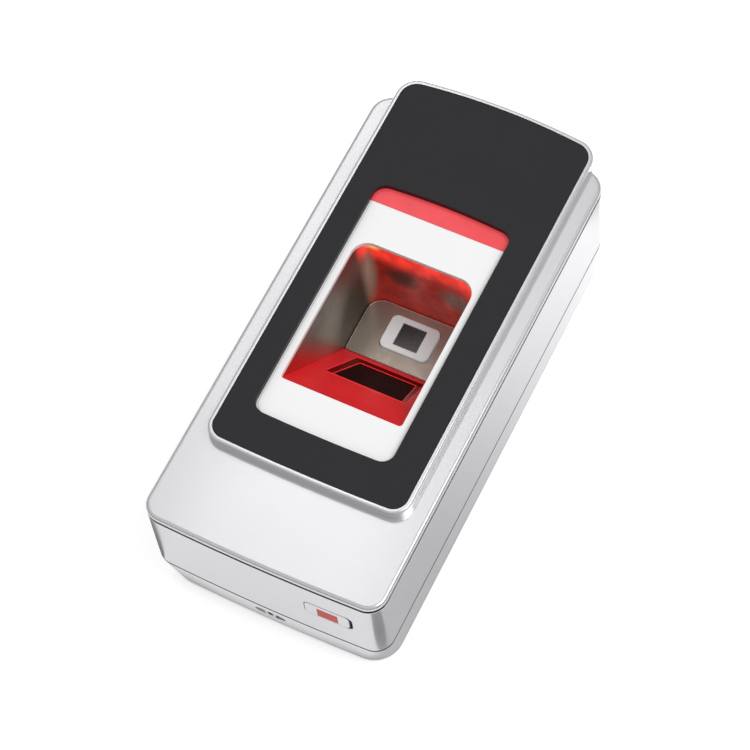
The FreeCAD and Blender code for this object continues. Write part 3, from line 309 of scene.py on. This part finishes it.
def shaft_with_painted_light():
    """The well's smoked shaft with painted red light: a painted glow on its head wall, and the ramp's red
    light painted on its sides.
    """
    s, cloud, shade = smoked("smoked_metal_painted_light", (0.10, 0.10, 0.078), (0.33, 0.33, 0.28))
    across = s.minus(s.axis("X"), MID)
    length = s.axis("Y")
    wobble = s.times(s.minus(cloud, 0.5), 4 * MM)
    depth = s.plus(s.axis("Z"), wobble)

    def blob(x, z, half_width, half_height):
        """1 at a spot on the head wall, easing to 0 at its edge. Millimetres."""
        dx = s.math("DIVIDE", s.minus(across, x * MM), half_width * MM)
        dz = s.math("DIVIDE", s.minus(depth, z * MM), half_height * MM)
        far = s.math("SQRT", s.plus(s.times(dx, dx), s.times(dz, dz)))
        return s.band(far, 0.25, 1.0, 1.0, 0.0)

    # the head wall's painted light: a red glow brightest at the rim, with a dark patch, a grey one, a pale
    # painted streak in one corner and a painted hot spot
    head = s.band(length, along(74.6), along(77.0))
    rim = s.band(depth, 25.0 * MM, 35.5 * MM)
    dark = blob(-4.5, 25.5, 6.0, 6.0)
    grey = blob(9.5, 24.5, 6.5, 5.5)
    streak = blob(-12.0, 24.0, 1.9, 15.0)
    painted_hot_spot = blob(-11.0, 36.4, 2.6, 2.4)
    wall = s.mix(dark, (0.34, 0.030, 0.020), (0.10, 0.045, 0.028))
    wall = s.mix(grey, wall, (0.26, 0.19, 0.14))
    wall = s.mix(rim, wall, (0.62, 0.030, 0.020))
    wall = s.mix(s.times(streak, 0.8), wall, (0.55, 0.47, 0.36))
    fading = s.largest(s.math("POWER", rim, 1.4), 0.16)
    glow_left_by_patches = s.band(s.largest(dark, grey, streak), 0.0, 1.0, 1.0, 0.25)
    mottle = s.band(s.noise(330.0, 2.0), 0.35, 0.65, 0.75, 1.15)
    painted_head_glow = s.times(fading, glow_left_by_patches, head, mottle)

    # the side walls: the ramp's red light is painted on them as far as a slanting edge
    edge_y, edge_z = along(63.0), 11.3 * MM
    run, rise = 12.0, 23.2
    size = math.hypot(run, rise)
    footward = s.times(s.minus(length, edge_y), -rise / size)
    downward = s.times(s.minus(depth, edge_z), -run / size)
    beside_ramp = s.band(s.plus(footward, downward), -2.0 * MM, 5.0 * MM)
    near_rim = s.times(s.band(length, along(60.0), along(74.0)), s.band(depth, 27 * MM, 36 * MM))
    side = s.mix(s.times(near_rim, 0.7), shade, (0.30, 0.025, 0.02))
    side = s.mix(beside_ramp, side, (0.30, 0.010, 0.012))

    # painted light: the red glow and the hot spot are emission, though the shaft is no lamp
    s.set(
        base_color=s.mix(head, side, wall),
        emission_color=s.mix(s.times(painted_hot_spot, head), (1.0, 0.045, 0.028), (1.0, 0.50, 0.08)),
        emission_strength=s.times(s.largest(painted_head_glow, s.times(beside_ramp, 0.22)), 0.8),
    )
    return s


def sensor_glass():
    """The sensor's coated die: dark, with a painted reflection that makes it a little lighter towards its
    foot corner.
    """
    s = Surface("sensor_glass")
    low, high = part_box("sensor_die")
    slope = s.plus(s.minus(s.axis("Y"), low.y), s.minus(high.x, s.axis("X")))
    lines = s.noise(9000.0, 1.0, s.stretch((1.0, 0.25, 1.0)))
    # painted reflection: lighter towards the die's foot corner
    dark = s.mix(s.band(slope, 0.0, (high.x - low.x) * 1.9), (0.10, 0.13, 0.13), (0.028, 0.045, 0.045))
    s.set(
        base_color=s.mix(s.times(lines, 0.12), dark, (0.06, 0.065, 0.065)),
        roughness=s.speckle(1200.0, 0.26, 0.34),
        coat_weight=0.15,
        coat_roughness=0.15,
    )
    s.bump(s.noise(9000.0), 0.01, RELIEF / 2)
    return s


def circuit():
    """Green solder mask with copper tracks showing through as a lighter green."""
    s = Surface("solder_mask")
    tracks = s.cells(420.0, "Distance", s.stretch((1.0, 0.35, 1.0)))
    edge = s.band(tracks, 0.30, 0.36)
    pads = s.band(s.cells(260.0), 0.10, 0.14, 1.0, 0.0)
    green = s.mix(edge, (0.012, 0.10, 0.04), (0.02, 0.19, 0.075))
    s.set(
        base_color=s.mix(pads, green, (0.66, 0.60, 0.42)),
        metallic=s.times(pads, 0.8),
        roughness=s.speckle(900.0, 0.32, 0.45),
        coat_weight=0.3,
        coat_roughness=0.2,
    )
    s.bump(edge, 0.2, 0.03 * MM)
    return s


def zinc_sheet():
    """Zinc-plated steel sheet with a faint crystal spangle and a rolling grain."""
    s = Surface("zinc_sheet")
    shade = s.nodes.new("ShaderNodeSeparateColor")
    s.links.new(s.cells(330.0, "Color"), shade.inputs[0])
    spangle = shade.outputs[1]
    s.set(
        base_color=s.mix(spangle, (0.46, 0.47, 0.48), (0.66, 0.67, 0.68)),
        metallic=0.95,
        roughness=s.band(spangle, 0.0, 1.0, 0.30, 0.46),
    )
    s.bevel(0.12 * MM)
    s.bump(s.noise(1800.0, 3.0, s.stretch((1.0, 0.06, 1.0))), 0.10, RELIEF)
    return s


def brushed(name, colour, roughness, stretch):
    """Brushed metal with its scratches along one axis."""
    s = Surface(name)
    streaks = s.noise(2400.0, 3.0, s.stretch(stretch))
    s.set(
        base_color=s.mix(streaks, lighter(colour, 0.88), lighter(colour, 1.1)),
        metallic=0.9,
        roughness=s.band(streaks, *NOISE_SPAN, roughness * 0.8, roughness * 1.2),
    )
    s.bevel(0.12 * MM)
    s.bump(streaks, 0.10, RELIEF)
    return s


SILVER = silver_lacquer("silver_lacquer", ("face_gasket", "rear_seal"))
FRAME_SILVER = silver_lacquer("frame_lacquer")
PANEL = black_panel()
GASKET = plain("black_rubber", (0.012, 0.012, 0.013), roughness=0.7, bump=0.3, grain=3000.0)
SEAL = plain("grey_rubber", (0.05, 0.05, 0.055), roughness=0.7, bump=0.3, grain=3000.0)
WHITE = plain("white_plastic", (0.93, 0.93, 0.935), roughness=0.42, drift=0.015, grain=6000.0, bump=0.03,
              edge=0.2 * MM)
LENS = glowing("status_lens_red", (0.70, 0.060, 0.070), roughness=0.35, glow=0.30, coat=0.1)
CUP = shaft_with_painted_light()
PLATE, *_ = smoked("smoked_metal_plate", (0.28, 0.28, 0.23), (0.46, 0.45, 0.38))
RAMP = glowing("ramp_red", (0.62, 0.018, 0.022), roughness=0.34, glow=0.25, coat=0.15)
WINDOW = plain("detect_red_black", (0.016, 0.003, 0.002), roughness=0.6, drift=0.3, bump=0.03)
WINDOW.set(specular_ior_level=0.12)
FRAME_RED = glowing("detect_frame_red", (0.10, 0.002, 0.002), roughness=0.2, glow=0.05, coat=0.3)
LINE_RED = glowing("detect_line_red", (0.80, 0.02, 0.03), roughness=0.25, glow=0.45, coat=0.3)
BEZEL = plain("sensor_silver", (0.80, 0.93, 0.93), roughness=0.42, metallic=0.2, drift=0.04, bump=0.02,
              edge=0.2 * MM)
# painted light: a faint pale glow that brightens the bezel, though it is no lamp
BEZEL.set(emission_color=(0.9, 1.0, 1.0), emission_strength=0.10)
DIE = sensor_glass()
BLACK = plain("black_plastic", (0.018, 0.018, 0.019), roughness=0.5, bump=0.25)
BOARD = circuit()
ZINC = zinc_sheet()
STEEL = brushed("plain_steel", (0.50, 0.50, 0.51), roughness=0.35, stretch=(1.0, 1.0, 0.15))
CHIP = plain("moulded_epoxy", (0.022, 0.022, 0.024), roughness=0.55, bump=0.35, grain=5000.0)
CAN = brushed("drawn_can", (0.72, 0.72, 0.73), roughness=0.28, stretch=(1.0, 1.0, 0.1))
RELAY = plain("relay_blue", (0.03, 0.13, 0.48), roughness=0.35)
NYLON = plain("nylon_white", (0.78, 0.76, 0.70), roughness=0.5)
COPPER = brushed("bare_copper", (0.80, 0.42, 0.24), roughness=0.3, stretch=(0.3, 0.3, 1.0))
CLEAR = glowing("led_epoxy", (0.9, 0.75, 0.7), roughness=0.2, glow=0.1)
RIBBON = plain("ribbon_film", (0.80, 0.80, 0.82), roughness=0.35, stretch=(6.0, 0.2, 1.0))
GREY = plain("button_grey", (0.22, 0.22, 0.23), roughness=0.45)
# painted light: a faint glow on the infrared filter, which is no lamp
FILTER = glowing("filter_red", (0.45, 0.030, 0.016), roughness=0.45, glow=0.10)
# partly painted highlight: a paler metal than the plate, for the light line along its edge
PLATE_EDGE_HIGHLIGHT = plain("plate_edge", (0.55, 0.50, 0.44), roughness=0.25, metallic=0.8)
CARD_GREY = plain("card_grey", (0.17, 0.17, 0.17), roughness=0.7)

FINISHES = {
    SILVER: ("rear_shell", "main_housing", "front_cover"),
    FRAME_SILVER: ("panel_frame", "window_carrier"),
    PANEL: ("face_panel",),
    GASKET: ("face_gasket", "cable_grommet"),
    SEAL: ("rear_seal",),
    WHITE: ("well_insert",),
    LENS: ("status_lens",),
    CUP: ("finger_cup",),
    PLATE: ("sensor_plate",),
    RAMP: ("ramp_light_guide",),
    WINDOW: ("detect_window",),
    BEZEL: ("sensor_bezel",),
    DIE: ("sensor_die",),
    BLACK: ("sensor_holder", "buzzer", "tamper_switch", "reset_switch"),
    BOARD: ("sensor_board", "main_board", "antenna_board", "status_led_board", "well_led_board"),
    ZINC: ("wall_plate",),
    STEEL: ("security_screw", "case_screws", "board_screws"),
    CHIP: ("processor_chip", "memory_chip", "voltage_regulator", "presence_sensor_pair", "ir_receiver"),
    CAN: ("quartz_crystal", "clock_battery", "capacitors"),
    RELAY: ("door_relay",),
    NYLON: ("wiring_headers", "cable_sockets"),
    COPPER: ("antenna_coil",),
    CLEAR: ("status_leds", "well_leds"),
    RIBBON: ("sensor_flat_cable",),
    GREY: ("tamper_plunger", "reset_button"),
    FILTER: ("infrared_filter",),
}
for finish, names in FINISHES.items():
    for name in names:
        mesh = NODES[name].data
        for index in range(len(mesh.materials)):
            mesh.materials[index] = finish.material


# ---------------------------------------------------------------- extra pieces


def new_piece(name, verts, faces, finish, body="terminal"):
    """A closed mesh piece that rides on a body."""
    mesh = bpy.data.meshes.new(name)
    mesh.from_pydata([tuple(v) for v in verts], [], faces)
    mesh.update()
    mesh.shade_smooth()
    mesh.materials.append(finish.material)
    piece = bpy.data.objects.new(name, mesh)
    bpy.context.scene.collection.objects.link(piece)
    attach(piece, body)
    return piece


def tube_faces(rings, sides):
    """The faces that join rings of points into a tube, and its last ring to its first."""
    faces = []
    for ring in range(rings):
        here, following = ring * sides, (ring + 1) % rings * sides
        for side in range(sides):
            beside = (side + 1) % sides
            faces.append((here + side, here + beside, following + beside, following + side))
    return faces


def bead(name, path, width, height, finish, sides=8, up=Vector((0, 0, 1))):
    """A thin rounded bead swept round a closed path of points."""
    verts = []
    for index, point in enumerate(path):
        ahead = (path[(index + 1) % len(path)] - path[index - 1]).normalized()
        across = ahead.cross(up).normalized()
        above = across.cross(ahead).normalized()
        for side in range(sides):
            angle = 2 * math.pi * side / sides
            sideways = across * (math.cos(angle) * width / 2)
            upwards = above * (math.sin(angle) * height / 2)
            verts.append(point + sideways + upwards)
    return new_piece(name, verts, tube_faces(len(path), sides), finish)


def rounded_path(half_width, foot, head, foot_corner, head_corner, height, steps=6):
    """Points round a rectangle with its foot and head corners rounded."""
    corners = (
        (half_width - foot_corner, foot + foot_corner, foot_corner, -90),
        (half_width - head_corner, head - head_corner, head_corner, 0),
        (-half_width + head_corner, head - head_corner, head_corner, 90),
        (-half_width + foot_corner, foot + foot_corner, foot_corner, 180),
    )
    path = []
    for x, y, radius, start in corners:
        for step in range(steps + 1):
            angle = math.radians(start + 90 * step / steps)
            path.append(Vector((MID + x + radius * math.cos(angle), y + radius * math.sin(angle), height)))
    return path


# a bead round the sensor plate: a real rounded edge, in a paler metal that paints its highlight
plate_low, plate_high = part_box("sensor_plate")
plate_rim = rounded_path(
    half_width=plate_high.x - MID - 0.1 * MM,
    foot=plate_low.y + 0.12 * MM,
    head=plate_high.y - 0.1 * MM,
    foot_corner=0.6 * MM,
    head_corner=3.6 * MM,
    height=plate_high.z,
)
bead("sensor_plate_edge", plate_rim, width=0.22 * MM, height=0.16 * MM, finish=PLATE_EDGE_HIGHLIGHT)

# the ramp: where its face starts at the rim and ends on the well's floor, from the foot end and in height
WELL_FOOT, RAMP_FOOT = 40.5, 62.9
RAMP_TOP, RAMP_LOW = 35.9, 12.0
SLOPE = Vector((0, (RAMP_FOOT - WELL_FOOT) * MM, (RAMP_LOW - RAMP_TOP) * MM)).normalized()
SLOPE_NORMAL = Vector((0, -SLOPE.z, SLOPE.y))

# the window in the ramp, a trapezoid: its half width at each of its two heights
WINDOW_TOP, HALF_TOP = 25.2, 9.95
WINDOW_LOW, HALF_LOW = 13.2, 8.45
CLIMB = 0.75  # height gained by a millimetre along the ramp, nearly


def on_ramp(x, height, sunk=0.0):
    """A point on the ramp's face at this height, sunk straight into it."""
    share = (RAMP_TOP - height) / (RAMP_TOP - RAMP_LOW)
    y = along(WELL_FOOT + share * (RAMP_FOOT - WELL_FOOT))
    return Vector((MID + x * MM, y, height * MM)) - SLOPE_NORMAL * sunk * MM


def trapezoid(inset, sunk):
    """The ramp window's corners, moved inwards in the ramp's plane and sunk. Millimetres."""
    top, low = WINDOW_TOP - inset * CLIMB, WINDOW_LOW + inset * CLIMB
    return [
        on_ramp(HALF_TOP - inset, top, sunk),
        on_ramp(HALF_LOW - inset, low, sunk),
        on_ramp(-HALF_LOW + inset, low, sunk),
        on_ramp(-HALF_TOP + inset, top, sunk),
    ]


def finer(corners, parts=10):
    """The corners with evenly spaced points between them."""
    path = []
    for index, corner in enumerate(corners):
        following = corners[(index + 1) % len(corners)]
        path += [corner.lerp(following, part / parts) for part in range(parts)]
    return path


# a step down from the ramp's face to the window's glass, edged with a thin red line on either side
OUTER_INSET, INNER_INSET = 0.12, 1.5
frame_rings = [
    trapezoid(OUTER_INSET, sunk=0.25),
    trapezoid(INNER_INSET, sunk=0.62),
    trapezoid(INNER_INSET, sunk=0.75),
    trapezoid(OUTER_INSET, sunk=0.75),
]
frame_points = [point for ring in frame_rings for point in ring]
detect_frame = new_piece("detect_frame", frame_points, tube_faces(4, 4), FRAME_RED)
detect_frame.data.shade_flat()
for name, outline, width in (
    ("detect_lip", trapezoid(OUTER_INSET, sunk=0.05), 0.22 * MM),
    ("detect_inner_line", trapezoid(INNER_INSET, sunk=0.6), 0.26 * MM),
):
    bead(name, finer(outline), width, height=0.2 * MM, finish=LINE_RED,
         up=SLOPE_NORMAL)


# ---------------------------------------------------------------- studio


MAT_LIFT, DISC_LIFT = 0.2 * MM, 0.4 * MM  # clear of the floor, and the discs clear of the mat


def sheet(name, left, foot, right, head):
    """A flat rectangle's mesh."""
    mesh = bpy.data.meshes.new(name)
    corners = [(left, foot, 0), (right, foot, 0), (right, head, 0), (left, head, 0)]
    mesh.from_pydata(corners, [], [(0, 1, 2, 3)])
    return mesh


def floor():
    """A white table, lit a little from within so that it stays white out to its edges."""
    reach = 4.0
    mesh = sheet("floor", -reach, -reach, reach, reach)
    s = Surface("white_floor")
    s.set(
        base_color=s.mix(s.noise(3.0), (0.83, 0.83, 0.83), (0.85, 0.85, 0.85)),
        roughness=0.35,
        specular_ior_level=0.25,
        emission_color=(1.0, 1.0, 1.0),
        emission_strength=0.48,
    )
    mesh.materials.append(s.material)
    ground = bpy.data.objects.new("floor", mesh)
    bpy.context.scene.collection.objects.link(ground)


def softbox(name, place, target, size, power, turn=0.0):
    """A rectangular lamp aimed at a target and turned about its own beam."""
    light = bpy.data.lights.new(name, "AREA")
    light.shape = "RECTANGLE"
    light.size, light.size_y = size
    light.energy = power
    lamp = bpy.data.objects.new(name, light)
    lamp.location = place
    lamp.rotation_mode = "QUATERNION"
    aim = (Vector(target) - Vector(place)).to_track_quat("-Z", "Y")
    lamp.rotation_quaternion = aim @ Quaternion((0, 0, 1), turn)
    bpy.context.scene.collection.objects.link(lamp)


def only_reflected(thing):
    """Stage a card that only the lacquer's reflections show, as a flag is kept out of shot."""
    thing.visible_camera = False
    thing.visible_diffuse = False
    thing.visible_shadow = False
    bpy.context.scene.collection.objects.link(thing)


def reflection_disc(name, place, radius, sides=24):
    """A dark disc that shades an upright corner."""
    turns = [2 * math.pi * side / sides for side in range(sides)]
    rim = [(radius * math.cos(turn), radius * math.sin(turn), 0) for turn in turns]
    mesh = bpy.data.meshes.new(name)
    mesh.from_pydata(rim, [], [tuple(range(sides))])
    mesh.materials.append(CARD_GREY.material)
    disc = bpy.data.objects.new(name, mesh)
    disc.location = (*place, DISC_LIFT)
    only_reflected(disc)


def reflection_mat():
    """A grey mat under the case: the walls mirror it, palest towards the head and the foot wall."""
    margin = 60 * MM
    mesh = sheet(
        "reflection_mat", cad_low.x - margin, cad_low.y - margin, cad_high.x + margin, cad_high.y + margin
    )
    s = Surface("reflection_mat")
    length = s.axis("Y")
    towards_head = s.band(length, along(25), along(135), 0.14, 0.95)
    before_foot_wall = s.band(length, along(3), along(0), 0.0, 0.66)
    s.set(
        base_color=s.mix(s.noise(40.0), (0.43, 0.43, 0.44), (0.46, 0.46, 0.47)),
        roughness=0.6,
        emission_color=(1.0, 1.0, 1.0),
        emission_strength=s.largest(towards_head, before_foot_wall),
    )
    mesh.materials.append(s.material)
    mat = bpy.data.objects.new("reflection_mat", mesh)
    mat.location.z = MAT_LIFT
    only_reflected(mat)


def world():
    """A white tent, open and dark low down all round."""
    horizon, full_white = 0.0, 0.6
    dark, bright = 0.05, 0.74
    studio = bpy.data.worlds.new("studio")
    studio.use_nodes = True
    tree = studio.node_tree
    where = tree.nodes.new("ShaderNodeTexCoord")
    split = tree.nodes.new("ShaderNodeSeparateXYZ")
    ramp = tree.nodes.new("ShaderNodeMapRange")
    tree.links.new(where.outputs["Generated"], split.inputs[0])
    tree.links.new(split.outputs["Z"], ramp.inputs[0])
    for index, number in enumerate((horizon, full_white, dark, bright), start=1):
        ramp.inputs[index].default_value = number
    background = tree.nodes["Background"]
    background.inputs["Color"].default_value = (1.0, 1.0, 1.0, 1.0)
    tree.links.new(ramp.outputs[0], background.inputs["Strength"])
    bpy.context.scene.world = studio


floor()
world()
softbox("key", place=(0.6, 0.1, 1.0), target=(0, 0, 0), size=(0.6, 0.6), power=5.0)
# a narrow lamp straight above the table, for the bright streak along the cover
streak_x, streak_y, streak_z = -0.335, 0.49, 1.12
softbox(
    "streak",
    place=(streak_x, streak_y, streak_z),
    target=(streak_x, streak_y, 0),
    size=(0.09, 0.55),
    power=0.44,
    turn=math.radians(11),
)
reflection_mat()
reflection_disc("card_foot_right", (cad_high.x + 9 * MM, along(-5)), 8 * MM)
reflection_disc("card_foot_left", (cad_low.x - 10 * MM, along(1)), 7 * MM)
reflection_disc("card_head_right", (cad_high.x + 15 * MM, along(126)), 6 * MM)

# a long lens above the foot end, turned towards the right wall
camera_data = bpy.data.cameras.new("camera")
camera_data.lens = 130.1
camera_data.sensor_width = 36.0
camera = bpy.data.objects.new("camera", camera_data)
place = Vector((0.1509, -0.2334, 0.5448))
right = Vector((0.8940, 0.4434, -0.0659)).normalized()
ahead = Vector((-0.2571, 0.3869, -0.8855)).normalized()
above = right.cross(ahead).normalized()
turn = Matrix((right, above, -ahead)).transposed()
camera.matrix_world = Matrix.Translation(place) @ turn.to_4x4()
bpy.context.scene.collection.objects.link(camera)
bpy.context.scene.camera = camera
bpy.context.scene.view_settings.view_transform = "Standard"

bpy.context.view_layer.update()
